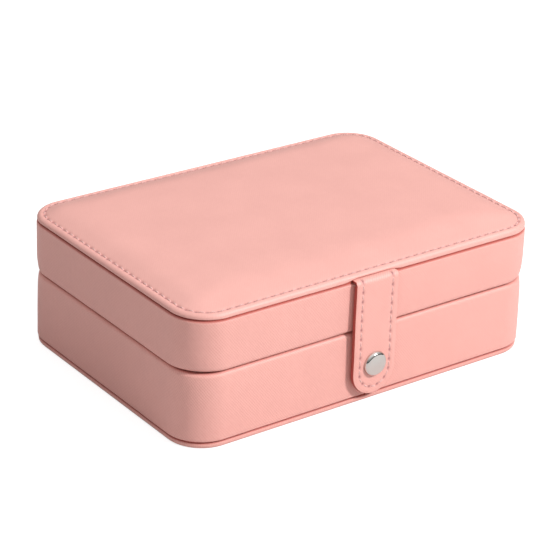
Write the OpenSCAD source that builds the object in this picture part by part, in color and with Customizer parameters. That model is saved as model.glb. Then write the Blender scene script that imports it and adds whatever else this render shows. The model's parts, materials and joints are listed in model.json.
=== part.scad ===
// Leather jewellery case: a lined tray and a hinged lid, closed by a strap with a snap.
// Units are millimetres. X runs left to right, the front faces -Y and Z is up.
// The origin is on the surface that the case stands on, at the middle of its outline.

/* [Case] */
// Width of the case, left to right
case_w = 165; // [155:1:180]
// Depth of the case, front to back
case_d = 118; // [112:1:126]
// Plan radius of the upright corners
corner_r = 15; // [13:0.5:18]
// Height of the line where the lid meets the tray
part_z = 30.6; // [29.5:0.1:33]
// Height of the groove under the padded top panel
panel_z = 51.9; // [50:0.1:54]
// Rise of the padded top panel's rim above the groove
rim_rise = 2.8; // [2.4:0.1:3.4]
// Further rise of the padded top to its middle
crown_rise = 1.6; // [1:0.1:2.5]

/* [Wall layers] */
// Thickness of the outer leather
leather_t = 1; // [0.8:0.1:1.2]
// Thickness of the wall board
board_t = 2.5; // [2:0.1:3]
// Thickness of the velvet lining
velvet_t = 0.8; // [0.6:0.1:1]
// Radius of the leather over the rims where lid and tray meet
edge_r = 1.5; // [1.3:0.1:2]
// Height of the leather-covered board under the case
bottom_h = 2.3; // [2:0.1:3]
// How far that board stands back from the walls
bottom_inset = 0.3; // [0.2:0.1:1]

/* [Strap and snap] */
// Width of the closing strap
strap_w = 20; // [17:0.5:23]
// Height of the strap's tip above the ground
strap_tip_z = 4.1; // [3.5:0.1:7]
// How far the strap's middle is to the right of the case's middle
strap_x = -0.8; // [-1.5:0.1:1.5]
// How far the strap stands off the wall at the snap
strap_bow = 1.1; // [1.1:0.1:2]
// Thickness of each of the strap's two layers
strap_layer_t = 0.8; // [0.8:0.1:1]
// Diameter of the snap's domed cap
cap_d = 10; // [9:0.5:11]

/* [Inside] */
// Number of ring rolls
roll_count = 7; // [5:1:7]
// Diameter of each ring roll
roll_d = 14.8; // [13.5:0.1:14.8]
// Width of the section that holds the ring rolls
roll_section_w = 56; // [50:1:62]
// Thickness of the removable dividers
divider_t = 2.4; // [2:0.1:3]
// How far each removable divider is moved from the middle
divider_y = 18; // [14:1:22]
// Number of necklace hooks
hook_count = 5; // [3:1:5]
// Width of the back hinge strip
hinge_w = 124; // [90:1:130]

/* [Hidden] */
$fn = 64;
eps = 0.01;
// Gap between bodies that move past each other
clear = 0.3;

// Colours
pink = "#f0b9af";
pink_shade = "#d99a90";
board_grey = "#8f8578";
velvet = "#e9d3cc";
velvet_shade = "#d9bdb5";
foam_white = "#f3ede2";
satin = "#e7c8c0";
nickel = "#cfcdca";
brass = "#d8b36a";

// Heights
part_gap = 0.4;
tray_top = part_z - part_gap / 2;
lid_bottom = part_z + part_gap / 2;
groove_h = 0.5;
band_top = panel_z - groove_h;
band_bottom = bottom_h + 0.4;
cover_t = 0.9;
floor_top = bottom_h + 1.8;
ceiling_t = 1;
ceiling_z = panel_z - ceiling_t;
lid_board_t = 1.2;
crown_z = panel_z + rim_rise + crown_rise;

// Distances in from the outline
turn_in = leather_t + board_t;
lining_in = turn_in + velvet_t;
cover_in = 0.3;
lid_board_inset = 1.9;
inner_x = case_w / 2 - lining_in;
inner_y = case_d / 2 - lining_in;
front = -case_d / 2;

// Ring section
section_x = -inner_x + roll_section_w;
section_t = 2;
wall_h = 22.5;
foam_h = 5;
roll_r = roll_d / 2;
roll_pitch = (2 * inner_y - 1) / roll_count;
roll_z = floor_top + foam_h + roll_r;
roll_left = -inner_x + 1.5;
roll_right = section_x - 1;

// Dividers and their guides
divider_h = 21;
divider_foot = floor_top + clear;
guide_t = 1.2;
guide_out = 2.5;

// Snap, measured along its axis from the front wall; the strap's round end is centred at tip_z
snap_z = strap_tip_z + 12.8;
tip_z = strap_tip_z + strap_w / 2;
back_face = strap_bow;
layer_face = strap_bow + strap_layer_t;
front_face = strap_bow + 2 * strap_layer_t;
stud_h = strap_bow - clear;
cap_h = 2.3;
stud_flange_t = 0.3;
post_r = 1.5;
shank_r = 1.6;
socket_r = 4;
rivet_head_r = 4;
rivet_head_t = 0.5;

// Strap root, and the length of strap that bends when it is lifted
root_z = band_top + groove_h / 2;
strap_bend = 2.6;
strap_top = root_z - strap_bend;
root_depth = 9;
root_t = 1;

// Lid fittings
rail_y = front + lining_in + 9;
rail_d = 8;
rail_t = 3;
hook_r = 1.1;
hook_drop = 7;
hook_lip = 5.5;
hook_pitch = 24;
pocket_w = 132;
pocket_mouth_y = 0;
pocket_end_y = inner_y - 4;
pocket_gap = 5.2;
pocket_t = 0.8;
elastic_w = 6;
elastic_t = 1.2;

// Hinge leaves
leaf_t = 0.8;
leaf_h = 17;
leaf_gap = 1.3;

// Outline of a rectangle with rounded corners
module outline(w, d, r) {
    square([w - 2 * r, d], center = true);
    square([w, d - 2 * r], center = true);
    for (x = [-1, 1], y = [-1, 1])
        translate([x * (w / 2 - r), y * (d / 2 - r)]) circle(r);
}

// The case's outline, moved inward by inset
module case_outline(inset) {
    outline(case_w - 2 * inset, case_d - 2 * inset, max(corner_r - inset, 1));
}

// Plate with the case's outline, between two heights
module plate(inset, z0, z1) {
    translate([0, 0, z0]) linear_extrude(z1 - z0) case_outline(inset);
}

// Upright ring that follows the case's outline
module ring(inset, t, z0, z1) {
    translate([0, 0, z0]) linear_extrude(z1 - z0) difference() {
        case_outline(inset);
        case_outline(inset + t);
    }
}

// Sweeps a flat profile round the case's outline. The profile's x = 0 is the outer face.
module around() {
    for (half = [0, 180]) rotate(half) {
        translate([case_w / 2, case_d / 2 - corner_r, 0])
            rotate([90, 0, 0]) linear_extrude(case_d - 2 * corner_r) children();
        rotate(90) translate([case_d / 2, case_w / 2 - corner_r, 0])
            rotate([90, 0, 0]) linear_extrude(case_w - 2 * corner_r) children();
        for (side = [0, 1])
            translate([(1 - 2 * side) * (case_w / 2 - corner_r), case_d / 2 - corner_r, 0])
                rotate(90 * side) rotate_extrude(angle = 90) translate([corner_r, 0]) children();
    }
}

// Section of a wall of width w whose outer top edge is rounded
module edge_block(z0, z1, r, w) {
    translate([-w, z0]) square([w, z1 - z0 - r]);
    translate([-w, z0]) square([w - r, z1 - z0]);
    translate([-r, z1 - r]) circle(r);
}

// Section of the leather on a wall: upright face, rounded rim and turn-in
module skin_section(h) {
    difference() {
        edge_block(0, h, edge_r, turn_in);
        translate([-leather_t, 0]) edge_block(-1, h - leather_t, edge_r - leather_t, turn_in);
    }
}

// Section of the wall board under that leather
module wall_section(foot, h) {
    translate([-leather_t, 0]) edge_block(-foot, h - leather_t, edge_r - leather_t, board_t);
}

// Turns a solid so that its +Z runs out of the front wall at the strap's middle, with z = 0 on the wall
module on_front(z) {
    translate([strap_x, front, z]) rotate([90, 0, 0]) children();
}

// Hole for the stud's rivet through the tray's front
module rivet_hole() {
    on_front(snap_z) translate([0, 0, -turn_in - 1]) cylinder(r = post_r, h = turn_in + 2);
}

module bottom_cover() {
    color(pink_shade) difference() {
        plate(bottom_inset, 0, bottom_h);
        plate(bottom_inset + leather_t, leather_t, bottom_h + 1);
    }
}

module bottom_board() {
    color(board_grey) plate(bottom_inset + leather_t, leather_t, bottom_h);
}

module tray_wall() {
    color(board_grey) difference() {
        translate([0, 0, band_bottom])
            around() wall_section(band_bottom - bottom_h, tray_top - band_bottom);
        rivet_hole();
        on_front(snap_z) translate([0, 0, -turn_in - eps])
            cylinder(r = rivet_head_r + 0.1, h = rivet_head_t + eps);
    }
}

module tray_leather() {
    color(pink) difference() {
        translate([0, 0, band_bottom]) around() skin_section(tray_top - band_bottom);
        rivet_hole();
    }
}

module tray_floor() {
    color(velvet_shade) plate(turn_in, bottom_h, floor_top);
}

module tray_lining() {
    color(velvet) ring(turn_in, velvet_t, floor_top, tray_top - 0.2);
}

module ring_foam() {
    color(velvet_shade) translate([0, 0, floor_top]) linear_extrude(foam_h) intersection() {
        case_outline(lining_in);
        translate([-inner_x, -inner_y]) square([roll_section_w, 2 * inner_y]);
    }
}

// Velvet roll with domed ends, counted from the front
module ring_roll(i) {
    inset = (i == 1 || i == roll_count) ? 1.3 : 0;
    x0 = roll_left + inset + roll_r;
    x1 = roll_right - roll_r;
    y = (i - (roll_count + 1) / 2) * roll_pitch;
    color(velvet) translate([0, y, roll_z]) {
        translate([x0, 0, 0]) rotate([0, 90, 0]) cylinder(r = roll_r, h = x1 - x0);
        translate([x0, 0, 0]) sphere(roll_r);
        translate([x1, 0, 0]) sphere(roll_r);
    }
}

module section_wall() {
    color(velvet_shade) translate([section_x, -inner_y, floor_top])
        cube([section_t, 2 * inner_y, wall_h]);
}

// Slotted strips that hold the removable dividers at both ends
module divider_guides() {
    slot = divider_t + 2 * clear;
    left = section_x + section_t;
    color(velvet_shade)
        for (y = [-divider_y, divider_y], x = [left, inner_x - guide_out], s = [-1, 1])
            translate([x, y + s * (slot + guide_t) / 2 - guide_t / 2, floor_top])
                cube([guide_out, guide_t, divider_h]);
}

module divider(y) {
    left = section_x + section_t + clear;
    right = inner_x - clear;
    finger_r = 9;
    color(velvet) translate([0, y + divider_t / 2, 0]) rotate([90, 0, 0])
        linear_extrude(divider_t) difference() {
            translate([left, divider_foot]) square([right - left, divider_h]);
            translate([(left + right) / 2, divider_foot + divider_h + finger_r / 2])
                circle(finger_r);
        }
}

module front_divider() {
    divider(-divider_y);
}

module rear_divider() {
    divider(divider_y);
}

// Male half of the snap, on the tray's front
module snap_stud() {
    neck_r = 1.5;
    head_r = 2;
    color(nickel) on_front(snap_z) {
        cylinder(r = 4, h = stud_flange_t);
        cylinder(r = neck_r, h = stud_h - 0.3);
        translate([0, 0, stud_h - 0.3]) cylinder(r = head_r, h = 0.3);
    }
}

// Rivet that clenches the stud to the wall
module stud_rivet() {
    color(nickel) on_front(snap_z) {
        translate([0, 0, -turn_in]) cylinder(r = rivet_head_r, h = rivet_head_t);
        translate([0, 0, -turn_in]) cylinder(r = post_r, h = turn_in);
    }
}

module hinge_tray_leaf() {
    color(pink) translate([-hinge_w / 2, case_d / 2, part_z - leaf_gap - leaf_h])
        cube([hinge_w, leaf_t, leaf_h]);
}

// Space for the strap's root in the top of the lid's front wall
module root_notch() {
    w = strap_w + 0.4;
    translate([strap_x - w / 2, front - 1, panel_z - root_t]) cube([w, root_depth + 1, root_t + 1]);
}

module lid_wall() {
    color(board_grey) difference() {
        translate([0, 0, band_top]) mirror([0, 0, 1])
            around() wall_section(groove_h, band_top - lid_bottom);
        root_notch();
    }
}

module lid_leather() {
    color(pink) difference() {
        translate([0, 0, band_top]) mirror([0, 0, 1])
            around() skin_section(band_top - lid_bottom);
        root_notch();
    }
}

module lid_board() {
    color(board_grey) plate(lid_board_inset, panel_z, panel_z + lid_board_t);
}

// Section of the padded top's rim, shrunk by t; it reaches in as far as the corners' centres
module dome_section(foot, t) {
    polygon([
        [-corner_r, foot],
        [-cover_in - t, foot],
        [-cover_in - t, panel_z + 0.35 * rim_rise - t],
        [-cover_in - 0.6 - t, panel_z + 0.75 * rim_rise - t],
        [-cover_in - 2.5 - t, panel_z + rim_rise - t],
        [-corner_r, crown_z - t]
    ]);
}

// Domed shape of the padded top above a height, shrunk by t
module top_dome(foot, t) {
    around() dome_section(foot, t);
    translate([-case_w / 2 + corner_r, -case_d / 2 + corner_r, foot])
        cube([case_w - 2 * corner_r, case_d - 2 * corner_r, crown_z - t - foot]);
}

module top_pad() {
    color(foam_white) intersection() {
        top_dome(panel_z - 1, cover_t);
        plate(0, panel_z + lid_board_t, crown_z);
    }
}

module top_cover() {
    color(pink) difference() {
        top_dome(panel_z, 0);
        top_dome(panel_z - 1, cover_t);
    }
}

module lid_ceiling() {
    color(velvet_shade) difference() {
        plate(turn_in, ceiling_z, panel_z);
        root_notch();
    }
}

module lid_lining() {
    color(velvet) ring(turn_in, velvet_t, lid_bottom + 0.2, ceiling_z);
}

module hook_rail() {
    color(velvet_shade) translate([-hook_pitch * 2.6, rail_y - rail_d / 2, ceiling_z - rail_t])
        cube([hook_pitch * 5.2, rail_d, rail_t]);
}

// Hook that holds a chain when the lid stands open
module necklace_hook(i) {
    x = (i - (hook_count + 1) / 2) * hook_pitch;
    foot = ceiling_z - rail_t;
    color(brass) translate([x, rail_y, foot]) {
        translate([0, 0, -0.6]) cylinder(r = 2.6, h = 0.6);
        translate([0, 0, -hook_drop]) cylinder(r = hook_r, h = hook_drop);
        translate([0, 0, -hook_drop]) sphere(hook_r);
        translate([0, 0, -hook_drop]) rotate([90, 0, 0]) cylinder(r = hook_r, h = hook_lip);
        translate([0, -hook_lip, -hook_drop]) sphere(hook_r);
    }
}

// Gathered pocket, open towards the front of the lid
module pocket_panel() {
    drop = pocket_gap + pocket_t;
    inner_w = pocket_w - 2 * pocket_t;
    color(satin) difference() {
        translate([-pocket_w / 2, 0, 0]) rotate([90, 0, 90]) linear_extrude(pocket_w) polygon([
            [pocket_mouth_y, ceiling_z],
            [pocket_mouth_y, ceiling_z - drop],
            [pocket_end_y - 12, ceiling_z - drop],
            [pocket_end_y, ceiling_z - 2],
            [pocket_end_y, ceiling_z]
        ]);
        translate([-inner_w / 2, 0, 0]) rotate([90, 0, 90]) linear_extrude(inner_w) polygon([
            [pocket_mouth_y - 1, ceiling_z + 1],
            [pocket_mouth_y - 1, ceiling_z - pocket_gap],
            [pocket_end_y - 12.4, ceiling_z - pocket_gap],
            [pocket_end_y - 1.4, ceiling_z - 1.6],
            [pocket_end_y - 1.4, ceiling_z + 1]
        ]);
    }
}

module pocket_elastic() {
    color(pink_shade)
        translate([-pocket_w / 2, pocket_mouth_y, ceiling_z - pocket_gap - pocket_t - elastic_t])
            cube([pocket_w, elastic_w, elastic_t]);
}

module hinge_lid_leaf() {
    color(pink) translate([-hinge_w / 2, case_d / 2, part_z + leaf_gap])
        cube([hinge_w, leaf_t, leaf_h]);
}

module strap_root() {
    color(pink) translate([strap_x - strap_w / 2, front + 0.3, panel_z - root_t])
        cube([strap_w, root_depth - 0.3, root_t]);
}

// One layer of the strap, between two distances out from its back face
module strap_layer(near, far) {
    bend_z = part_z - 3;
    lid_off = 0.8;
    intersection() {
        translate([strap_x - strap_w / 2, front, 0]) rotate([90, 0, 90]) linear_extrude(strap_w) polygon([
            [-lid_off - near, strap_top],
            [-lid_off - near, bend_z + 8],
            [-back_face - near, snap_z + 5],
            [-back_face - near, strap_tip_z],
            [-back_face - far, strap_tip_z],
            [-back_face - far, snap_z + 5],
            [-lid_off - far, bend_z + 8],
            [-lid_off - far, strap_top]
        ]);
        on_front(0) translate([0, 0, -5]) linear_extrude(20) {
            translate([0, tip_z]) circle(strap_w / 2);
            translate([-strap_w / 2, tip_z]) square([strap_w, strap_top - tip_z]);
        }
    }
}

module strap_front() {
    color(pink) difference() {
        strap_layer(strap_layer_t, 2 * strap_layer_t);
        on_front(snap_z) cylinder(r = shank_r, h = 20);
    }
}

module strap_back() {
    color(pink_shade) difference() {
        strap_layer(0, strap_layer_t);
        on_front(snap_z) cylinder(r = socket_r, h = 20);
    }
}

module snap_cap() {
    r = cap_d / 2;
    sphere_r = (r * r + cap_h * cap_h) / (2 * cap_h);
    color(nickel) on_front(snap_z) {
        intersection() {
            translate([0, 0, front_face + cap_h - sphere_r]) sphere(sphere_r);
            translate([0, 0, front_face]) cylinder(r = r + 1, h = cap_h + 1);
        }
        translate([0, 0, layer_face]) cylinder(r = shank_r, h = strap_layer_t);
    }
}

// Female half of the snap, let into the strap's back layer
module snap_socket() {
    mouth_r = 2.3;
    groove_r = 2.9;
    h = strap_layer_t;
    color(nickel) on_front(snap_z) translate([0, 0, back_face]) difference() {
        cylinder(r = socket_r, h = h);
        translate([0, 0, -1]) cylinder(r = mouth_r, h = h + 0.85);
        translate([0, 0, 0.1]) cylinder(r = groove_r, h = 0.5);
    }
}

// Wire ring that grips the stud
module snap_spring() {
    wire_r = 0.22;
    color(brass) on_front(snap_z) translate([0, 0, back_face + 0.35]) difference() {
        rotate_extrude() translate([2.5, 0]) circle(wire_r);
        translate([0, -0.6, -1]) cube([5, 1.2, 2]);
    }
}

bottom_cover();
bottom_board();
tray_wall();
tray_leather();
tray_floor();
tray_lining();
ring_foam();
for (i = [1:roll_count])
    ring_roll(i);
section_wall();
divider_guides();
front_divider();
rear_divider();
snap_stud();
stud_rivet();
hinge_tray_leaf();
lid_wall();
lid_leather();
lid_board();
top_pad();
top_cover();
lid_ceiling();
lid_lining();
hook_rail();
for (i = [1:hook_count])
    necklace_hook(i);
pocket_panel();
pocket_elastic();
hinge_lid_leaf();
strap_root();
strap_front();
strap_back();
snap_cap();
snap_socket();
snap_spring();
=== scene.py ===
"""Looks of the leather jewellery case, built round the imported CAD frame.

Every length below is in millimetres until mesh_object() and the materials turn it into metres.
The case is X right, front at -Y, Z up, as in the CAD.
"""

import json
import math

import bmesh
import bpy
import numpy as np
from mathutils import Matrix, Vector, noise


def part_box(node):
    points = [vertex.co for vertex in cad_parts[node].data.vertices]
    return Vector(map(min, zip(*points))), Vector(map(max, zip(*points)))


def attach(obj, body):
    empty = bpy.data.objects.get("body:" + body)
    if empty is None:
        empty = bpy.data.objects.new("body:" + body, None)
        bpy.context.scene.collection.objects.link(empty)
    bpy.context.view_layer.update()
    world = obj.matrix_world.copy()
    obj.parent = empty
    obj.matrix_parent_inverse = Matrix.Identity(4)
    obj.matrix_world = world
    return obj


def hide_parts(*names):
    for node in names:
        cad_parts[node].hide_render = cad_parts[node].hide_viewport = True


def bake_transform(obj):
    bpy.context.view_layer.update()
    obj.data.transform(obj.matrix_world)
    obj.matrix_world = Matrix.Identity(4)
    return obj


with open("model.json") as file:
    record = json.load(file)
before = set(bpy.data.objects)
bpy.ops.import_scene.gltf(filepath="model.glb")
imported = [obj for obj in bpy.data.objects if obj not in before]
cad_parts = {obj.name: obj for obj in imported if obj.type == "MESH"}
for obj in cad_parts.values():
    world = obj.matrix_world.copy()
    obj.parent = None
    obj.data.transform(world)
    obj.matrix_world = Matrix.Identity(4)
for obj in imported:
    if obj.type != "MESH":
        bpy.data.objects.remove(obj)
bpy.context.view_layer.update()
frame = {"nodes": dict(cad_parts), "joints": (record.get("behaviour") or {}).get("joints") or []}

MM = 0.001


def cad(node):
    """Lowest and highest corner of a CAD node, in millimetres."""
    low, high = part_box(node)
    return np.array(low) / MM, np.array(high) / MM


# ---- sizes taken from the frame

tray_low, tray_high = cad("tray_leather")
lid_low, lid_high = cad("lid_leather")
base_low, base_high = cad("bottom_cover")
cover_low = cad("top_cover")[0]
strap_low, strap_high = cad("strap_front")
strap_back_high = cad("strap_back")[1]
cap_low, cap_high = cad("snap_cap")
tray_leaf_low, tray_leaf_high = cad("hinge_tray_leaf")
lid_leaf_high = cad("hinge_lid_leaf")[1]
pocket_low, pocket_high = cad("pocket_panel")
elastic_low, elastic_high = cad("pocket_elastic")
joints = {j["name"]: j for j in frame["joints"]}

HALF_W = lid_high[0]
HALF_D = lid_high[1]
FRONT = -HALF_D
CASE_HALF = np.array([HALF_W, HALF_D])
STRAP_X = (strap_low[0] + strap_high[0]) / 2
STRAP_R = (strap_high[0] - strap_low[0]) / 2
LEATHER_T = 1.0
TURN_IN = 3.5
CORNER_R = 15.0
RIM_R = 1.7
FOOT_R = 0.9

# How strongly painted shade, a deep red, shows in the grooves and down between the rims of tray and lid
GROOVE_SHADE = 0.6
RIM_SHADE = 0.35

# How far the upper groove strays from level, and how the rims draw back and pucker at the corners
GROOVE_STRAY = 0.42
RIM_DIP = 0.22
RIM_PUCKER = 0.12
PUCKER_PITCH = 1.9

# Stitches: mesh points along each, the thread's radius, and its share of the pitch
STITCH_PITCH = 3.9
PER_STITCH = 6
THREAD_R = 0.26
THREAD_SHARE = 0.62


# ---- mesh helpers


def mesh_object(name, rows, faces, uv=None, smooth=True, lap=0.0):
    """Makes a mesh object from rows of points in millimetres. uv has a pair for each point. lap is the length
    of a surface that closes on itself along u, so that its last faces run on past it, not back to 0."""
    mesh = bpy.data.meshes.new(name)
    mesh.from_pydata((np.vstack(rows) * MM).tolist(), [], faces)
    if uv is not None:
        layer = mesh.uv_layers.new(name="grain")
        corner = np.zeros(len(mesh.loops), np.int32)
        mesh.loops.foreach_get("vertex_index", corner)
        pairs = np.vstack(uv).astype(np.float32)[corner]
        for face in mesh.polygons if lap else ():
            loops = slice(face.loop_start, face.loop_start + face.loop_total)
            u = pairs[loops, 0]
            pairs[loops, 0] = np.where(u.max() - u > lap / 2, u + lap, u)
        layer.data.foreach_set("uv", pairs.ravel())
    mesh.polygons.foreach_set("use_smooth", [smooth] * len(mesh.polygons))
    mesh.validate()
    obj = bpy.data.objects.new(name, mesh)
    bpy.context.scene.collection.objects.link(obj)
    return obj


def add_marks(obj, name, rows):
    """Stores a value for each point, row by row: painted shade at needle holes and in grooves, and edge
    paint.
    """
    attribute = obj.data.attributes.new(name, "FLOAT", "POINT")
    attribute.data.foreach_set("value", np.concatenate(rows).astype(np.float32))


def grid_faces(rows, cols, wrap_rows=False, wrap_cols=False):
    """Quads of a grid of points that is stored row by row."""
    faces = []
    for r in range(rows if wrap_rows else rows - 1):
        below, above = r * cols, ((r + 1) % rows) * cols
        for c in range(cols if wrap_cols else cols - 1):
            after = (c + 1) % cols
            faces.append((below + c, below + after, above + after, above + c))
    return faces


def fix_normals(obj):
    """Welds points that coincide, drops faces without area and turns every face outward."""
    bm = bmesh.new()
    bm.from_mesh(obj.data)
    bmesh.ops.remove_doubles(bm, verts=bm.verts, dist=1e-7)
    bmesh.ops.dissolve_degenerate(bm, edges=bm.edges, dist=1e-8)
    bmesh.ops.recalc_face_normals(bm, faces=bm.faces)
    bm.to_mesh(obj.data)
    bm.free()
    return obj


def rounded_path(corners, step=0.5, arc_parts=6):
    """Points along a path through (x, y, radius) corners, with each corner rounded by its radius."""
    corners = [np.array(c, float) for c in corners]
    points = [corners[0][:2]]
    for before, here, after in zip(corners, corners[1:], corners[2:]):
        a, b = before[:2] - here[:2], after[:2] - here[:2]
        a, b = a / np.linalg.norm(a), b / np.linalg.norm(b)
        half = math.acos(np.clip(a @ b, -1, 1)) / 2
        if here[2] < 1e-6 or half > math.pi / 2 - 1e-4:
            points.append(here[:2])
            continue
        centre = here[:2] + (a + b) / np.linalg.norm(a + b) * here[2] / math.sin(half)
        start = here[:2] + a * here[2] / math.tan(half) - centre
        end = here[:2] + b * here[2] / math.tan(half) - centre
        turn = math.atan2(start[0] * end[1] - start[1] * end[0], start @ end)
        for k in range(arc_parts + 1):
            t = turn * k / arc_parts
            c, s = math.cos(t), math.sin(t)
            points.append(centre + np.array([c * start[0] - s * start[1], s * start[0] + c * start[1]]))
    points.append(corners[-1][:2])
    filled = [points[0]]
    for p in points[1:]:
        n = max(1, int(round(np.linalg.norm(p - filled[-1]) / step)))
        last = filled[-1]
        filled += [last + (p - last) * k / n for k in range(1, n + 1)]
    return np.array(filled)


def along(path):
    """Distance from the path's start to each of its points."""
    return np.concatenate([[0], np.cumsum(np.linalg.norm(np.diff(path, axis=0), axis=1))])


def smoothstep(x, low, high):
    t = np.clip((np.asarray(x, float) - low) / (high - low), 0, 1)
    return t * t * (3 - 2 * t)


def wobble(x, y, z, size, seed=0.0):
    """Smooth noise between about -1 and 1, for a point in millimetres."""
    return noise.noise(Vector((x / size + seed, y / size - seed, z / size + 2 * seed)))


# ---- the case's outline


class Outline:
    """A rounded rectangle, sampled at equal steps along the line inset from it by even_at."""

    def __init__(self, half, radius, count, even_at=0.0):
        self.half, self.radius, self.count = np.array(half, float), radius, count
        r = radius - even_at
        side_x, side_y = self.half - radius
        lengths = [side_y, math.pi / 2 * r, 2 * side_x, math.pi / 2 * r, 2 * side_y,
                   math.pi / 2 * r, 2 * side_x, math.pi / 2 * r, side_y]
        marks = np.concatenate([[0], np.cumsum(lengths)])
        self.length = marks[-1]
        s = np.arange(count) * self.length / count
        stretch = np.searchsorted(marks, s, side="right") - 1
        part = (s - marks[stretch]) / np.array(lengths)[stretch]
        # A sample is a corner of the core rectangle, or a point of its side, plus a radius along the normal.
        # Each side has its start, its step and its normal.
        corners = [(1, 1), (-1, 1), (-1, -1), (1, -1)]
        sides = [((1, 0), (0, 1), (1, 0)), ((1, 1), (-2, 0), (0, 1)), ((-1, 1), (0, -2), (-1, 0)),
                 ((-1, -1), (2, 0), (0, -1)), ((1, -1), (0, 1), (1, 0))]
        self.flat = np.zeros((count, 2))
        self.normal = np.zeros((count, 2))
        for i, (k, p) in enumerate(zip(stretch, part)):
            if k % 2:
                angle = math.pi / 2 * ((k - 1) / 2 + p)
                self.normal[i] = math.cos(angle), math.sin(angle)
                self.flat[i] = corners[k // 2]
            else:
                start, step, self.normal[i] = sides[k // 2]
                self.flat[i] = np.array(start) + p * np.array(step)
        self.corner = 2 * np.abs(self.normal[:, 0] * self.normal[:, 1])

    def at(self, inset):
        """The outline moved inward by inset; its corners tighten slowly, down to its middle line."""
        keep = self.radius * 2 / 3
        r = self.radius - inset
        if inset > keep:
            r = (self.radius - keep) * math.exp(-(inset - keep) / (self.radius - keep))
        r = min(r, self.half.min() - inset)
        return self.flat * (self.half - inset - r) + self.normal * r

    def run(self):
        """Distance round the outline to each sample."""
        step = np.linalg.norm(np.diff(self.at(0.0), axis=0), axis=1)
        return np.concatenate([[0], np.cumsum(step)])


def noise_row(line, z, size, seed):
    """The same smooth noise for each (x, y) of a line at height z."""
    return np.array([wobble(x, y, z, size, seed) for x, y in line])


# ---- materials


class Nodes:
    """Short names for building a node material."""

    def __init__(self, name):
        self.mat = bpy.data.materials.new(name)
        self.mat.use_nodes = True
        self.tree = self.mat.node_tree
        self.shader = self.tree.nodes["Principled BSDF"]

    def add(self, kind, **settings):
        node = self.tree.nodes.new("ShaderNode" + kind)
        for key, value in settings.items():
            setattr(node, key, value)
        return node

    def flat(self):
        """The mesh's own flat pattern, in metres."""
        return self.add("UVMap", uv_map="grain").outputs[0]

    def solid(self):
        return self.add("TexCoord").outputs["Object"]

    def put(self, socket, value):
        if isinstance(value, bpy.types.NodeSocket):
            self.tree.links.new(value, socket)
        elif isinstance(value, (tuple, list)) and len(value) == 3 and socket.type == "RGBA":
            socket.default_value = (*value, 1)
        else:
            socket.default_value = value

    def math(self, operation, a, b):
        node = self.add("Math", operation=operation)
        for socket, value in zip(node.inputs, (a, b)):
            self.put(socket, value)
        return node.outputs[0]

    def mix(self, share, a, b, blend="MIX"):
        node = self.add("Mix", data_type="RGBA", blend_type=blend)
        self.put(node.inputs["Factor"], share)
        self.put(node.inputs[6], a)
        self.put(node.inputs[7], b)
        return node.outputs[2]

    def noise(self, vector, scale, detail=3.0, rough=0.5):
        node = self.add("TexNoise")
        self.put(node.inputs["Vector"], vector)
        self.put(node.inputs["Scale"], scale)
        self.put(node.inputs["Detail"], detail)
        self.put(node.inputs["Roughness"], rough)
        return node.outputs["Fac"]

    def spread(self, value, low, high, to_low=0.0, to_high=1.0):
        node = self.add("MapRange", interpolation_type="SMOOTHSTEP")
        for key, number in zip((0, 1, 2, 3, 4), (value, low, high, to_low, to_high)):
            self.put(node.inputs[key], number)
        return node.outputs[0]

    def waves(self, vector, pitch, angle, distortion=0.0, detail_scale=1.0):
        """Parallel ridges in a flat pattern whose coordinates are metres."""
        turn = self.add("VectorRotate", rotation_type="Z_AXIS")
        self.put(turn.inputs["Vector"], vector)
        self.put(turn.inputs["Angle"], math.radians(angle))
        node = self.add("TexWave", wave_type="BANDS", bands_direction="X", wave_profile="SIN")
        self.put(node.inputs["Vector"], turn.outputs[0])
        self.put(node.inputs["Scale"], WAVE_UNIT / (pitch * MM))
        self.put(node.inputs["Distortion"], distortion)
        self.put(node.inputs["Detail Scale"], detail_scale)
        return node.outputs["Fac"]

    def streaks(self, vector, angle, across, run):
        """Broken parallel marks at an angle; across and run are their spacing and length in millimetres."""
        turn = self.add("VectorRotate", rotation_type="Z_AXIS")
        self.put(turn.inputs["Vector"], vector)
        self.put(turn.inputs["Angle"], math.radians(angle))
        stretch = self.add("VectorMath", operation="MULTIPLY")
        self.put(stretch.inputs[0], turn.outputs[0])
        stretch.inputs[1].default_value = (1 / (across * MM), 1 / (run * MM), 1 / (across * MM))
        return self.noise(stretch.outputs[0], 1.0, detail=1.5)

    def bump(self, height, depth_mm):
        node = self.add("Bump")
        self.put(node.inputs["Height"], height)
        self.put(node.inputs["Distance"], depth_mm * MM)
        return node.outputs[0]

    def set(self, **sockets):
        names = {"colour": "Base Color", "roughness": "Roughness", "normal": "Normal",
                 "metal": "Metallic", "specular": "Specular IOR Level", "sheen": "Sheen Weight",
                 "sheen_roughness": "Sheen Roughness", "sheen_tint": "Sheen Tint"}
        for key, value in sockets.items():
            self.put(self.shader.inputs[names[key]], value)
        return self.mat


# Blender's wave texture repeats every pi / 10 units at scale 1
WAVE_UNIT = math.pi / 10


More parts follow.
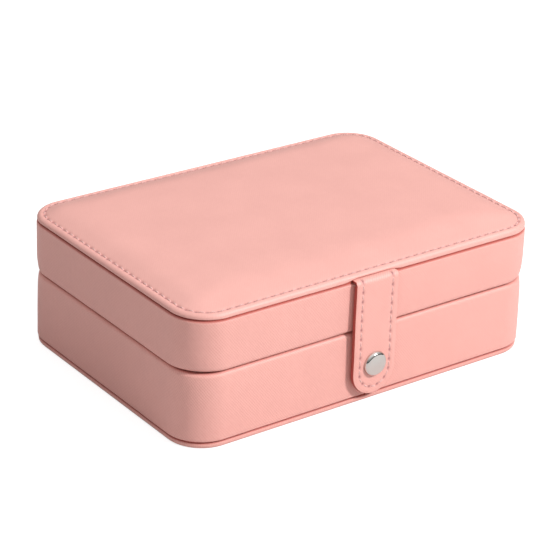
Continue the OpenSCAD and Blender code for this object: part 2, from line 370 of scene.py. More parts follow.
def leather(name, colour, pit_colour, use_uv=True, grain=1.0, hatch=1.0):
    """Cross-grained synthetic leather: fine diagonal hatching over soft mottling.

    hatch is how plainly the diagonal lines show; the rest of the grain is broken streaks and pores.
    One point attribute paints shade at the needle holes, and another paints edges and the shade in grooves;
    both are 0 where a mesh has none."""
    n = Nodes(name)
    where = n.flat() if use_uv else n.solid()
    solid = n.solid()
    lines = n.waves(where, 0.82, 39, distortion=2.4, detail_scale=1.2)
    cross = n.waves(where, 0.95, -46, distortion=1.8, detail_scale=1.2)
    hatched = n.math("ADD", n.math("MULTIPLY", lines, 0.7), n.math("MULTIPLY", cross, 0.3))
    broken = n.streaks(where, 40, across=0.9, run=3.0)
    fade = n.spread(n.noise(solid, 60.0, detail=2.0), 0.3, 0.7, 0.25 * hatch, hatch)
    crossed = n.math("ADD", n.math("MULTIPLY", n.math("SUBTRACT", hatched, 0.5), fade), 0.5)
    crossed = n.math("ADD", crossed, n.math("MULTIPLY", n.math("SUBTRACT", broken, 0.5), 0.5))
    pores = n.noise(solid, 700.0, detail=2.0)
    height = n.math("ADD", n.math("MULTIPLY", crossed, 0.8), n.math("MULTIPLY", pores, 0.25))
    mottle = n.noise(solid, 55.0, detail=4.0, rough=0.6)
    base = n.mix(n.spread(crossed, 0.1, 0.9), pit_colour, colour)
    shade = n.mix(n.spread(mottle, 0.3, 0.7), (0.97, 0.96, 0.96), (1.0, 1.0, 1.0))
    tinted = n.mix(1.0, base, shade, blend="MULTIPLY")
    # Painted shade at the needle holes
    tinted = n.mix(n.add("Attribute", attribute_name="hole_shade").outputs["Fac"], tinted, HOLE_SHADE_COLOUR)
    # Edge paint, and painted shade in the grooves and between the rims, in one deep red
    tinted = n.mix(n.add("Attribute", attribute_name="edge").outputs["Fac"], tinted, EDGE_AND_SHADE_COLOUR)
    rough = n.spread(n.math("ADD", mottle, n.math("MULTIPLY", crossed, -0.2)), 0.0, 0.8, 0.44, 0.56)
    return n.set(colour=tinted, roughness=rough, normal=n.bump(height, 0.05 * grain), specular=0.5,
                 sheen=0.05, sheen_roughness=0.5)


def thread(name, colour):
    """Twisted sewing thread."""
    n = Nodes(name)
    where = n.flat()
    strands = n.waves(where, 0.42, 38)
    shade = n.mix(n.spread(strands, 0.1, 0.9), tuple(c * 0.72 for c in colour), colour)
    return n.set(colour=shade, roughness=0.55, normal=n.bump(strands, 0.05), specular=0.35,
                 sheen=0.25, sheen_roughness=0.4)


def satin(name, colour, deep):
    """Thin woven satin with a soft gloss along its folds."""
    n = Nodes(name)
    where = n.flat()
    solid = n.solid()
    weft = n.waves(where, 0.5, 0, distortion=0.6)
    slub = n.streaks(where, 0, across=0.9, run=14.0)
    tone = n.mix(n.spread(slub, 0.3, 0.7), deep, colour)
    tone = n.mix(n.spread(n.noise(solid, 45.0, detail=3.0), 0.3, 0.7), n.mix(0.35, tone, deep), tone)
    rough = n.spread(slub, 0.2, 0.8, 0.3, 0.44)
    return n.set(colour=tone, roughness=rough, normal=n.bump(weft, 0.035), specular=0.55,
                 sheen=0.35, sheen_roughness=0.3)


def ribbed(name, colour, deep):
    """Woven elastic: dense crosswise yarn over lengthwise ribs."""
    n = Nodes(name)
    where = n.flat()
    yarn = n.waves(where, 0.55, 0, distortion=0.3)
    ribs = n.waves(where, 0.9, 90)
    tone = n.mix(n.spread(n.math("MULTIPLY", yarn, ribs), 0.1, 0.8), deep, colour)
    return n.set(colour=tone, roughness=0.7, normal=n.bump(n.math("ADD", yarn, ribs), 0.09), specular=0.25,
                 sheen=0.3, sheen_roughness=0.4)


def polished_metal(name, colour, roughness):
    n = Nodes(name)
    where = n.solid()
    scuffs = n.noise(where, 900.0, detail=5.0, rough=0.65)
    haze = n.noise(where, 140.0, detail=3.0)
    rough = n.spread(haze, 0.25, 0.75, roughness * 0.75, roughness * 1.5)
    return n.set(colour=colour, metal=1.0, roughness=rough, normal=n.bump(scuffs, 0.0025))


def velvet(name, colour, deep):
    """Short-pile velvet: the pile leans in patches and glows at grazing angles."""
    n = Nodes(name)
    where = n.solid()
    pile = n.noise(where, 3600.0, detail=2.0, rough=0.7)
    nap = n.noise(where, 60.0, detail=4.0, rough=0.6)
    fleck = n.noise(where, 700.0, detail=3.0)
    tone = n.mix(n.spread(nap, 0.3, 0.7), deep, colour)
    tone = n.mix(n.spread(fleck, 0.35, 0.65), n.mix(1.0, tone, (0.9, 0.9, 0.9), blend="MULTIPLY"), tone)
    return n.set(colour=tone, roughness=0.92, normal=n.bump(pile, 0.12), specular=0.15,
                 sheen=0.8, sheen_roughness=0.35, sheen_tint=colour)


def board(name, colour):
    """Grey board with flecks of fibre."""
    n = Nodes(name)
    where = n.solid()
    fibre = n.noise(where, 1500.0, detail=5.0, rough=0.7)
    tone = n.mix(n.spread(fibre, 0.35, 0.65), tuple(c * 0.8 for c in colour), colour)
    return n.set(colour=tone, roughness=0.88, normal=n.bump(fibre, 0.05), specular=0.2)


PINK = (0.82, 0.415, 0.364)
PINK_PIT = (0.75, 0.350, 0.304)
# Colour of the painted shade at the needle holes
HOLE_SHADE_COLOUR = (0.30, 0.10, 0.11)
# Deep red of edge paint, also used as painted shade in the grooves and between the rims
EDGE_AND_SHADE_COLOUR = (0.42, 0.05, 0.035)

pink_leather = leather("pink_leather", PINK, PINK_PIT)
# The top panel's leather is a touch less red than the sides', which tones down its lit top: painted shade
top_leather = leather("top_leather", (0.795, 0.408, 0.360), (0.755, 0.375, 0.328), grain=0.6, hatch=0.4)
lining_leather = leather("lining_leather", (0.78, 0.37, 0.32), (0.70, 0.31, 0.26), grain=0.6)
# Painted shade: a deep red copy of the leather, for the walls seen down in the gaps between the bands
shaded_recess_leather = leather("shaded_recess_leather", (0.56, 0.11, 0.08), (0.48, 0.09, 0.065), use_uv=False, grain=0.4)
thread_pink = thread("thread_pink", (0.84, 0.50, 0.47))
nickel = polished_metal("nickel", (0.66, 0.63, 0.60), 0.12)
gold = polished_metal("gold", (0.86, 0.66, 0.38), 0.2)
velvet_rose = velvet("velvet_rose", (0.80, 0.60, 0.55), (0.70, 0.50, 0.455))
velvet_deep = velvet("velvet_deep", (0.76, 0.56, 0.515), (0.66, 0.465, 0.425))
satin_rose = satin("satin_rose", (0.82, 0.56, 0.52), (0.66, 0.40, 0.36))
elastic_rose = ribbed("elastic_rose", (0.70, 0.42, 0.39), (0.46, 0.24, 0.22))
grey_board = board("grey_board", (0.33, 0.29, 0.25))


def dress(obj, material):
    obj.data.materials.clear()
    obj.data.materials.append(material)
    return obj


# ---- leather bands round tray and lid


def groove_shift(line, normal):
    """How far the groove under the top panel strays from level: high at the left, low at the front right."""
    left = np.clip(-normal[:, 0], 0, 1)
    front = np.clip(-normal[:, 1], 0, 1)
    return GROOVE_STRAY * left - GROOVE_STRAY * front * np.clip((line[:, 0] + 60) / 140, 0, 1)


def band(name, bottom, top, lean, curl, flip):
    """Leather wrapped round a wall. Built with its rim up; flip turns it over for the lid.

    lean is how far the wall stands off its nominal face at its foot and at its rim, and curl how far
    the rim draws in at the corners."""
    height = top - bottom
    outer = rounded_path([
        (-TURN_IN, height - 0.22, 0), (-TURN_IN, height - 0.02, 0.15), (0, height, RIM_R),
        (0, 0, FOOT_R), (-LEATHER_T, 0, 0)], step=1.6, arc_parts=8)
    inner = rounded_path([
        (-LEATHER_T, 0, 0), (-LEATHER_T, height - LEATHER_T, RIM_R - LEATHER_T),
        (-TURN_IN, height - LEATHER_T, 0), (-TURN_IN, height - 0.22, 0)], step=3.0, arc_parts=3)
    profile = np.vstack([outer, inner[1:-1]])
    ring = Outline(CASE_HALF, CORNER_R, 420)
    run = ring.run()
    rows, uv, shade = [], [], []
    for (x, z), v in zip(profile, along(profile)):
        up = min(max(z / height, 0), 1)
        line = ring.at(-x)
        off = lean[0] + (lean[1] - lean[0]) * up + 0.16 * math.sin(math.pi * up) * (1 - 0.6 * ring.corner)
        off -= curl * ring.corner * smoothstep(z, height - 7, height) ** 1.5
        off += 0.10 * noise_row(line, z, 34, 1.7) + 0.04 * noise_row(line, z, 9, 5.1)
        zz = bottom + z + 0.05 * noise_row(line, 0, 26, 3.3) * up
        zz -= RIM_DIP * ring.corner * smoothstep(z, height - 3, height)
        if x < -RIM_R and z > height - 1.2:
            zz -= RIM_PUCKER * ring.corner * np.abs(np.sin(run * math.pi / PUCKER_PITCH))
        if flip:
            zz = bottom + top - zz + groove_shift(line, ring.normal) * (1 - up) ** 2
        rows.append(np.column_stack([line + ring.normal * off[:, None], zz]))
        uv.append(np.column_stack([run, np.full(ring.count, -v if flip else v)]) * MM)
        # Painted shade: deep red in the groove at the band's foot, and down between the rims of tray and lid
        seam = 1 - smoothstep(z, 0.15, 0.65) if x < -0.03 else 0.0
        between_rims = 0.0
        if z > height - 1.3:
            between_rims = smoothstep(-x, 0.4, 1.2) * (1 - smoothstep(-x, 1.6, 2.4))
        shade.append(np.full(ring.count, max(GROOVE_SHADE * float(seam), RIM_SHADE * float(between_rims))))
    faces = grid_faces(len(profile), ring.count, wrap_rows=True, wrap_cols=True)
    obj = mesh_object(name, rows, faces, uv, lap=ring.length * MM)
    add_marks(obj, "edge", shade)
    return dress(fix_normals(obj), pink_leather)


tray_band = band("tray_leather_skin", tray_low[2], tray_high[2], lean=(0.05, -0.45), curl=0.35, flip=False)
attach(tray_band, "tray")
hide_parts("tray_leather")

lid_band = band("lid_leather_skin", lid_low[2], lid_high[2], lean=(-0.15, -0.25), curl=0.6, flip=True)
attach(lid_band, "lid")
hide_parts("lid_leather")


def shell(name, ring, profile, material, change=None, groove_z=None):
    """A closed skin round a board: profile runs from the middle of one face, round the edge, to the middle
    of the other. change may alter a row's points, given the inset and height of that row. Above groove_z
    the skin is painted with the deep red of the groove's shade."""
    back = max(i for i, (inset, z) in enumerate(profile) if inset == min(p[0] for p in profile))
    run = along(np.array(profile))
    rows, uv, edge = [], [], []
    for (inset, z), v in zip(profile, run):
        line = ring.at(inset)
        points = np.column_stack([line, np.full(ring.count, z)])
        rows.append(points if change is None else change(points, inset, z))
        # Painted shade: the skin turns deep red above groove_z, inside the groove
        tint = 0.0 if groove_z is None or v < run[back] else float(smoothstep(z, groove_z, groove_z + 0.4))
        edge.append(np.full(ring.count, GROOVE_SHADE * tint))
        spread_out = ring.at(profile[back][0]) + ring.normal * (run[back] - v)
        uv.append((line if run[back] < v or inset > CORNER_R else spread_out) * MM)
    faces = grid_faces(len(rows), ring.count, wrap_cols=True)
    obj = mesh_object(name, rows, faces, uv)
    add_marks(obj, "edge", edge)
    return dress(fix_normals(obj), material)


def bottom_panel():
    """The leather-covered panel that the case stands on, folded up round its board."""
    side = base_high[0]
    inset = HALF_W - side
    floor, board_in, board_z = base_low[2], inset + LEATHER_T, base_low[2] + LEATHER_T - 0.05
    middle = HALF_D
    profile = [(i, floor) for i in (middle, 48, 36, 25, 16, 10, 6)]
    profile += rounded_path([(4.5, floor, 0), (inset, floor, 1.2), (inset, base_high[2], 0.85),
                             (board_in, base_high[2] - 0.02, 0)], step=0.6, arc_parts=7).tolist()
    profile += [(board_in, board_z), (6, board_z), (20, board_z), (middle, board_z)]
    # The panel's upper edge is painted with the groove's shade where it meets the tray's band
    return shell("bottom_panel", Outline(CASE_HALF, CORNER_R, 300), profile, pink_leather,
                 groove_z=base_high[2] - 0.6)


base = bottom_panel()
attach(base, "tray")
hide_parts("bottom_cover")


# ---- stitches


def stitch_row(name, centres, tangents, normals, pitch):
    """Threads that arch from one needle hole to the next. All arguments are in millimetres."""
    rings, sides = 9, 8
    length = pitch * THREAD_SHARE
    points, uv, faces = [], [], []
    for p, t, n in zip(centres, tangents, normals):
        side = np.cross(n, t)
        side /= np.linalg.norm(side)
        first = len(points)
        for k in range(rings):
            u = -1 + 2 * k / (rings - 1)
            arch = 0.12 - 0.5 * abs(u) ** 3.2
            thick = THREAD_R * (0.62 + 0.38 * (1 - u * u) ** 0.5 if abs(u) < 1 else 0.55)
            centre = p + t * (u * length / 2) + n * arch
            for j in range(sides):
                a = 2 * math.pi * j / sides
                points.append(centre + thick * (side * math.cos(a) * 1.15 + n * math.sin(a) * 0.85))
                uv.append((j / sides * 2 * math.pi * THREAD_R * MM, (u + 1) / 2 * length * MM))
        for k in range(rings - 1):
            for j in range(sides):
                a, b = first + k * sides + j, first + k * sides + (j + 1) % sides
                faces.append((a, b, b + sides, a + sides))
        faces.append(tuple(first + j for j in range(sides))[::-1])
        faces.append(tuple(first + (rings - 1) * sides + j for j in range(sides)))
    return dress(mesh_object(name, points, faces, uv), thread_pink)


def seam_threads(name, line, up, count, pitch):
    """The threads of a closed stitch line. They lie between the needle holes, half a pitch on."""
    mid = np.arange(count) * PER_STITCH + PER_STITCH // 2
    tangent = np.roll(line, -1, axis=0) - np.roll(line, 1, axis=0)
    tangent /= np.linalg.norm(tangent, axis=1)[:, None]
    return stitch_row(name, line[mid], tangent[mid], np.tile(up, (count, 1)), pitch)


def hole_shade_marks(distance, phase):
    """Painted shade: dark dashes at the needle holes; distance is how far a row lies from the seam."""
    turn = np.abs((phase + 0.5) % 1 - 0.5)
    return math.exp(-(distance / 0.5) ** 2) * np.select([turn < 0.09, turn < 0.2], [1.0, 0.4], 0.0)


def seam_pull(phase):
    """How strongly the thread pulls the leather down: most at the needle holes."""
    return 0.62 + 0.38 * np.cos(2 * np.pi * phase)


# ---- padded top panel

TOP_BASE = cover_low[2]
TOP_SIDE_IN = 0.35
TOP_EDGE_Z = 54.35
SEAM_IN = 3.3
SEAM_HALF = 0.75
SEAM_DEPTH = 0.34
FRONT_SEAM_OUT = 0.6
STITCH_COUNT = 133
CROWN_SLOPE = 0.30
CROWN_FROM, CROWN_STEEP_TO, CROWN_TO = 0.3, 4.0, 11.5
FRONT_EASE = 0.4
STRAP_LIFT = 0.9


def crown(distance):
    """Rise of the padding at a distance inside the seam: steep at first, then level."""
    d = np.asarray(distance, float)
    start = CROWN_SLOPE * np.clip(d - CROWN_FROM, 0, CROWN_STEEP_TO - CROWN_FROM)
    t = np.clip(d - CROWN_STEEP_TO, 0, CROWN_TO - CROWN_STEEP_TO)
    return start + CROWN_SLOPE * (t - t * t / (2 * (CROWN_TO - CROWN_STEEP_TO)))


def over_strap(line, normal):
    """1 where the strap enters under the panel, fading to 0 on both sides of it."""
    away = np.abs(line[:, 0] - STRAP_X)
    return np.clip(-normal[:, 1], 0, 1) ** 4 * (1 - smoothstep(away, STRAP_R - 3, STRAP_R + 4))


def top_panel():
    ring = Outline(CASE_HALF, CORNER_R, STITCH_COUNT * PER_STITCH, even_at=SEAM_IN)
    phase = np.arange(ring.count) / PER_STITCH
    run = ring.run()
    pucker = np.array([wobble(s, 0, 0, 1.9, 6.1) for s in run])
    front = np.clip(-ring.normal[:, 1], 0, 1) ** 2
    under = [(i, TOP_BASE + 0.05) for i in (HALF_D, 45, 30)]
    side = rounded_path([
        (14, TOP_BASE + 0.05, 0), (TOP_SIDE_IN, TOP_BASE + 0.05, 0.6),
        (TOP_SIDE_IN, TOP_EDGE_Z, 1.7), (TOP_SIDE_IN + 1.7, TOP_EDGE_Z, 0)], step=0.7, arc_parts=9).tolist()
    insets = [2.25, 2.5, 2.75, 3.0, 3.15, 3.3, 3.45, 3.6, 3.8, 4.0, 4.3, 4.7, 5.2, 5.8, 6.5, 7.3, 8.2, 9.2,
              10.4, 11.7, 13, 14.5, 16, 18, 20.5, 24, 28, 33, 38, 44, 50, 55, HALF_D]
    rows, uv, marks, groove_shade = [], [], [], []
    for inset, z in under + side:
        line = ring.at(inset)
        low = 1 - smoothstep(z, TOP_BASE, TOP_EDGE_Z)
        lift = (groove_shift(line, ring.normal) + STRAP_LIFT * over_strap(line, ring.normal)) * low
        lift = lift + 0.035 * pucker * smoothstep(z, 53.4, TOP_EDGE_Z)
        out = 0.05 * noise_row(line, z, 14, 4.4) * (inset < 2)
        rows.append(np.column_stack([line + ring.normal * np.reshape(out, (-1, 1)), z + lift]))
        uv.append(np.column_stack([run, np.full(ring.count, z + TOP_SIDE_IN - min(inset, 6.0))]) * MM)
        marks.append(np.zeros(ring.count))
        # Painted shade: deep red on the rows tucked into the groove under the panel
        in_groove = z < TOP_BASE + 0.5 and inset > TOP_SIDE_IN + 0.05
        groove_shade.append(np.full(ring.count, GROOVE_SHADE * float(in_groove)))
    for inset in insets:
        line = ring.at(inset)
        shift = FRONT_SEAM_OUT * front * float(smoothstep(inset, 2.0, 3.0) * (1 - smoothstep(inset, 5, 12)))
        line = line + ring.normal * shift[:, None]
        dx, dy = HALF_W - np.abs(line[:, 0]), HALF_D - np.abs(line[:, 1])
        near = (np.maximum(dx, 0.1) ** -4.0 + np.maximum(dy, 0.1) ** -4.0) ** -0.25
        far = float(smoothstep(inset, 5, 14))
        ease = FRONT_EASE * smoothstep(dx - (line[:, 1] + HALF_D), -9, 14)
        z = TOP_EDGE_Z + crown((inset * (1 - far) + near * far - SEAM_IN) * (1 - ease))
        z = z - SEAM_DEPTH * math.exp(-((inset - SEAM_IN) / SEAM_HALF) ** 2) * seam_pull(phase)
        z = z + 0.05 * math.exp(-((inset - 2.2) / 0.8) ** 2) * np.cos(2 * np.pi * (phase + 0.5))
        z = z + 0.035 * pucker * (1 - float(smoothstep(inset, 2.4, 6.5)))
        z = z + 0.05 * noise_row(line, 0, 11, 8.8) * float(smoothstep(inset, 2, 9))
        z = z + 0.13 * noise_row(line, 0, 30, 2.2) * float(smoothstep(inset, 2, 9))
        z = z - 0.2 * np.exp(-(line[:, 0] / 40) ** 2) * smoothstep(line[:, 1], 30, HALF_D)
        rows.append(np.column_stack([line, z]))
        uv.append(line * MM)
        # Painted shade at the needle holes
        marks.append(hole_shade_marks(inset - SEAM_IN, phase))
        groove_shade.append(np.zeros(ring.count))
    obj = mesh_object("top_panel", rows, grid_faces(len(rows), ring.count, wrap_cols=True), uv)
    add_marks(obj, "hole_shade", marks)
    add_marks(obj, "edge", groove_shade)
    dress(fix_normals(obj), top_leather)
    seam = rows[len(under) + len(side) + insets.index(SEAM_IN)]
    return obj, seam_threads("top_stitching", seam, [0.0, 0.0, 1.0], STITCH_COUNT, ring.length / STITCH_COUNT)


top, top_threads = top_panel()
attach(top, "lid")
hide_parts("top_cover", "top_pad")
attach(top_threads, "lid")


# ---- strap

STRAP_TIP = strap_low[2]
LAYER_T = 0.8
ROOT_Z = joints["strap_swing"]["pos_m"][2] / MM
BACK_Y = strap_back_high[1]
BACK_TIP_Y = strap_low[1] + 2 * LAYER_T
STRAIGHT_TO, TOUCHES_LID = 21.9, 35.6
STRAP_SEAM = 3.0
STRAP_PUFF = 0.12
STRAP_SEAM_DEPTH = 0.24


class StrapPath:
    """A layer's back face in the YZ plane: from its tip up and, with stop_y, into the groove."""

    def __init__(self, off, stop_y):
        lid_y, tip_y = BACK_Y - off, BACK_TIP_Y - off
        corners = [(tip_y, STRAP_TIP, 0), (tip_y, STRAIGHT_TO, 30), (lid_y, TOUCHES_LID, 30)]
        if stop_y is None:
            corners += [(lid_y, ROOT_Z - 1.2, 0)]
        else:
            corners += [(lid_y, ROOT_Z + 0.05, 0.6), (stop_y, ROOT_Z + 0.05, 0)]
        self.points = rounded_path(corners, step=0.5, arc_parts=10)
        self.run = along(self.points)
        self.length = self.run[-1]
        self.top = self.run[np.argmax(self.points[:, 1] > ROOT_Z - 1.2)]

    def point(self, s):
        return np.array([np.interp(s, self.run, self.points[:, k]) for k in (0, 1)])

    def at(self, s):
        """Point and outward normal at distance s from the tip; both are (y, z)."""
        t = self.point(s + 0.3) - self.point(s - 0.3)
        t = t / np.maximum(np.linalg.norm(t, axis=0), 1e-9)
        return self.point(s), np.array([-t[1], t[0]])


def u_line(inset, length):
    """A line down one edge of the strap, round its tip and up the other, inset from the edge.

    Returns each sample's x and distance from the tip, evenly spaced along the stitch line, and the pitch."""
    r = STRAP_R - STRAP_SEAM
    straight = length - STRAP_R
    total = 2 * straight + math.pi * r
    stitches = int(round(total / STITCH_PITCH))
    s = np.linspace(0, total, stitches * PER_STITCH + 1)
    half = STRAP_R - inset
    a = np.clip((s - straight) / r, 0, math.pi)
    x = -half * np.cos(a)
    d = STRAP_R - half * np.sin(a)
    d = d + np.maximum(straight - s, 0) + np.maximum(s - straight - math.pi * r, 0)
    return x, d, total / stitches


def strap_layer(name, off, stop_y, thick, puff, seam_depth, material):
    path = StrapPath(off, stop_y)
    rows, uv, hole_shades, painted = [], [], [], []
    round_off = 0.32
    section = [(STRAP_R, 0.0), (6, 0.0), (3, 0.0), (0.25, 0.0), (0.0, 0.18), (0.0, thick - round_off)]
    section += [(round_off * (1 - math.cos(a)), thick - round_off + round_off * math.sin(a))
                for a in np.linspace(0.3, math.pi / 2, 5)]
    across = (0.8, 1.3, 1.8, 2.2, 2.5, 2.75, 3.0, 3.25, 3.5, 3.8, 4.3, 5.0, 6.0, 7.3, 8.6, STRAP_R)
    section += [(t, thick) for t in across]
    for inset, h in section:
        x, d, _ = u_line(inset, path.length)
        phase = np.arange(len(x)) / PER_STITCH
        height = np.full(len(x), h)
        hole = np.zeros(len(x))
        if h >= thick - 1e-9:
            height -= seam_depth * math.exp(-((inset - STRAP_SEAM) / 0.6) ** 2) * seam_pull(phase)
            height += puff * float(smoothstep(inset, 0.4, 1.5) * (1 - 0.5 * smoothstep(inset, 3.5, 9)))
            # Painted shade at the needle holes
            hole = hole_shade_marks(inset - STRAP_SEAM, phase) if seam_depth else hole
        at, normal = path.at(d)
        rows.append(np.column_stack([STRAP_X + x, at[0] + normal[0] * height, at[1] + normal[1] * height]))
        extra = thick - h if inset < 0.5 else 0
        uv.append(np.column_stack([x + np.sign(x) * extra, d]) * MM)
        hole_shades.append(hole)
        # Edge paint on the cut edges, deep red; it also stands in for the shade along the strap's side
        painted.append(np.full(len(x), float(inset < 0.01 or (inset < 0.2 and h > 0))))
    cols = len(rows[0])
    faces = grid_faces(len(rows), cols)
    faces.append(tuple(r * cols for r in range(len(rows))))
    faces.append(tuple(r * cols + cols - 1 for r in range(len(rows)))[::-1])
    obj = mesh_object(name, rows, faces, uv)
    add_marks(obj, "hole_shade", hole_shades)
    add_marks(obj, "edge", painted)
    return dress(fix_normals(obj), material), path


def strap_threads(path, thick, puff, seam_depth):
    x, d, pitch = u_line(STRAP_SEAM, path.length)
    at, normal = path.at(d)
    height = thick + puff - seam_depth * 0.75
    points = np.column_stack([STRAP_X + x, at[0] + normal[0] * height, at[1] + normal[1] * height])
    tangents = np.gradient(points, axis=0)
    tangents /= np.linalg.norm(tangents, axis=1)[:, None]
    normals = np.column_stack([np.zeros(len(x)), normal[0], normal[1]])
    mid = np.arange(PER_STITCH // 2, len(x) - 1, PER_STITCH)
    mid = mid[d[mid] < path.top]
    return stitch_row("strap_stitching", points[mid], tangents[mid], normals[mid], pitch)


strap_face, face_path = strap_layer("strap_leather", LAYER_T, FRONT + 2.6, LAYER_T, STRAP_PUFF,
                                    STRAP_SEAM_DEPTH, pink_leather)
strap_lining, _ = strap_layer("strap_lining", 0.0, None, LAYER_T - 0.04, 0.0, 0.0, lining_leather)
strap_sewing = strap_threads(face_path, LAYER_T, STRAP_PUFF, STRAP_SEAM_DEPTH)

for piece in (strap_face, strap_lining, strap_sewing):
    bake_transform(piece)
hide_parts("strap_front", "strap_root")
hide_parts("strap_back")


# ---- snap cap

DOME_R = 13.0
CAP_ROLL = 1.5

def turned(name, profile, segments, centre, material):
    """A turned part whose axis runs out of the front. profile holds (radius, distance out) pairs."""
    rows = []
    for r, h in profile:
        a = np.arange(segments) * 2 * math.pi / segments
        rows.append(np.column_stack([centre[0] + r * np.cos(a), np.full(segments, centre[1] - h),
                                     centre[2] + r * np.sin(a)]))
    faces = grid_faces(len(rows), segments, wrap_cols=True)
    obj = mesh_object(name, rows, faces)
    return dress(fix_normals(obj), material)


def snap_cap():
    """A nearly flat dome with a broad rolled edge, on the strap's front face."""
    radius = (cap_high[0] - cap_low[0]) / 2
    face = strap_low[1]
    centre = ((cap_low[0] + cap_high[0]) / 2, face, (cap_low[2] + cap_high[2]) / 2)
    rise = face - cap_low[1]
    flat = radius - CAP_ROLL
    crest = rise - DOME_R + math.sqrt(DOME_R ** 2 - flat ** 2)
    profile = [(0.0, -0.7), (1.5, -0.7), (1.5, -0.1)]
    profile += rounded_path([(1.5, -0.1, 0), (radius, -0.1, 0.35), (radius, crest + 0.12, CAP_ROLL),
                             (flat - 0.2, crest + 0.06, 0)], step=0.4, arc_parts=12).tolist()[1:]
    profile += [(r, rise - DOME_R + math.sqrt(DOME_R ** 2 - r * r)) for r in np.linspace(flat - 0.6, 0, 14)]
    return turned("snap_cap_dome", profile, 96, centre, nickel)


cap = snap_cap()
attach(cap, "strap")
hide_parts("snap_cap")


# ---- hinge strip at the back

HINGE_Z = joints["lid_hinge"]["pos_m"][2] / MM
HINGE_T = tray_leaf_high[1] - tray_leaf_low[1]
HINGE_SEAM = 2.6


def hinge_strip():
    """One strip of leather sewn over the back of the tray and the lid, creased where it bends."""
    half = ((tray_leaf_high[0] - tray_leaf_low[0]) / 2, (lid_leaf_high[2] - tray_leaf_low[2]) / 2)
    middle_z = (lid_leaf_high[2] + tray_leaf_low[2]) / 2
    ring_size = Outline(half, 3.0, 8, even_at=HINGE_SEAM).length
    count = int(round(ring_size / STITCH_PITCH))
    ring = Outline(half, 3.0, count * PER_STITCH, even_at=HINGE_SEAM)
    phase = np.arange(ring.count) / PER_STITCH
    inner = [0.3, 3, 7, 11] + list(np.linspace(12.5, half[1], 11))
    section = [(i, 0.0) for i in inner[::-1]]
    section += [(0.0, 0.2), (0.0, HINGE_T - 0.35)]
    section += [(0.35 * (1 - math.cos(a)), HINGE_T - 0.35 + 0.35 * math.sin(a))
                for a in (0.5, 1.0, math.pi / 2)]
    outer = [0.9, 1.4, 1.9, 2.3, HINGE_SEAM, 2.9, 3.3, 3.9, 4.8, 6, 8, 10]
    outer += list(np.linspace(12, half[1], 13))
    section += [(i, HINGE_T) for i in outer]
    rows, uv, hole_shades, painted = [], [], [], []
    for inset, h in section:
        line = ring.at(inset)
        z = middle_z + line[:, 1]
        height = np.full(ring.count, h)
        hole_shade = np.zeros(ring.count)
        if h >= HINGE_T:
            height -= 0.2 * math.exp(-((inset - HINGE_SEAM) / 0.6) ** 2) * seam_pull(phase)
            height += 0.05 * noise_row(line, 0, 12, 7.7)
            # Painted shade at the needle holes
            hole_shade = hole_shade_marks(inset - HINGE_SEAM, phase)
        height -= 0.22 * np.exp(-((z - HINGE_Z) / 0.9) ** 2) * (h > 0.5)
        rows.append(np.column_stack([line[:, 0], tray_leaf_low[1] + height, z]))
        uv.append(line * MM)
        hole_shades.append(hole_shade)
        painted.append(np.full(ring.count, 0.6 * (inset < 0.1)))
    obj = mesh_object("hinge_strip", rows, grid_faces(len(rows), ring.count, wrap_cols=True), uv)
    add_marks(obj, "hole_shade", hole_shades)
    add_marks(obj, "edge", painted)
    dress(fix_normals(obj), pink_leather)
    seam = rows[section.index((HINGE_SEAM, HINGE_T))]
    return obj, seam_threads("hinge_stitching", seam, [0.0, 1.0, 0.0], count, ring.length / count)


strip, strip_threads = hinge_strip()
for piece in (strip, strip_threads):
    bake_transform(piece)
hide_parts("hinge_tray_leaf", "hinge_lid_leaf")


# ---- ring cushions


def ring_roll(node, seed):
    """A velvet roll stuffed with foam: round in section, drawn together at its ends."""
    low, high = cad(node)
    centre, half = (low + high) / 2, (high - low) / 2
    sides, end = 56, 4.2
    x = np.concatenate([[0, 0.05, 0.2, 0.5, 1, 1.7, 2.6, 3.6], np.linspace(4.6, half[0], 10)])
    x = np.unique(np.concatenate([x, 2 * half[0] - x]))
    a = np.arange(sides) * 2 * math.pi / sides
    rows, uv = [], []
    for step in x:
        near = min(step, 2 * half[0] - step)
        part = max(0.0, 1 - near / end)
        share = max(0.0, 1 - part ** 2.6) ** (1 / 2.6)
        share = max(share, 1e-4)
        gather = 0.05 * part * np.cos(a * 14 + seed) * share
        dent = np.array([0.012 * wobble(step, 9 * math.cos(t), 9 * math.sin(t), 9, seed) for t in a])
        r = share * (1 + gather + dent)
        y = centre[1] + half[1] * r * np.cos(a)
        z = centre[2] + half[2] * r * np.sin(a)
        rows.append(np.column_stack([np.full(sides, low[0] + step), y, z]))
        uv.append(np.column_stack([np.full(sides, step), a * half[1]]) * MM)
    obj = mesh_object("cushion_" + node[-1], rows, grid_faces(len(rows), sides, wrap_cols=True), uv)
    return dress(fix_normals(obj), velvet_rose)


for k in range(1, 8):
    roll = ring_roll(f"ring_roll_{k}", k * 1.3)
    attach(roll, "tray")
    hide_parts(f"ring_roll_{k}")


def foam_pad():
    """The soft bed under the rolls, with rounded edges."""
    low, high = cad("ring_foam")
    half = (high - low) / 2
    centre = (low + high) / 2
    profile = [(i, low[2]) for i in (half[0], 20, 10)]
    profile += rounded_path([(4, low[2], 0), (0, low[2], 0.8), (0, high[2], 1.8), (4, high[2], 0)],
                            step=0.8, arc_parts=7).tolist()
    profile += [(i, high[2]) for i in (7, 12, 20, half[0])]

    def settle(points, inset, z):
        points[:, :2] += centre[:2]
        if z > high[2] - 0.1:
            points[:, 2] -= 0.1 - 0.1 * noise_row(points[:, :2], 0, 9, 2.9)
        return points

    return shell("ring_bed", Outline(half[:2], 4.0, 240), profile, velvet_deep, settle)


bed = foam_pad()
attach(bed, "tray")
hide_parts("ring_foam")


# ---- gathered pocket in the lid

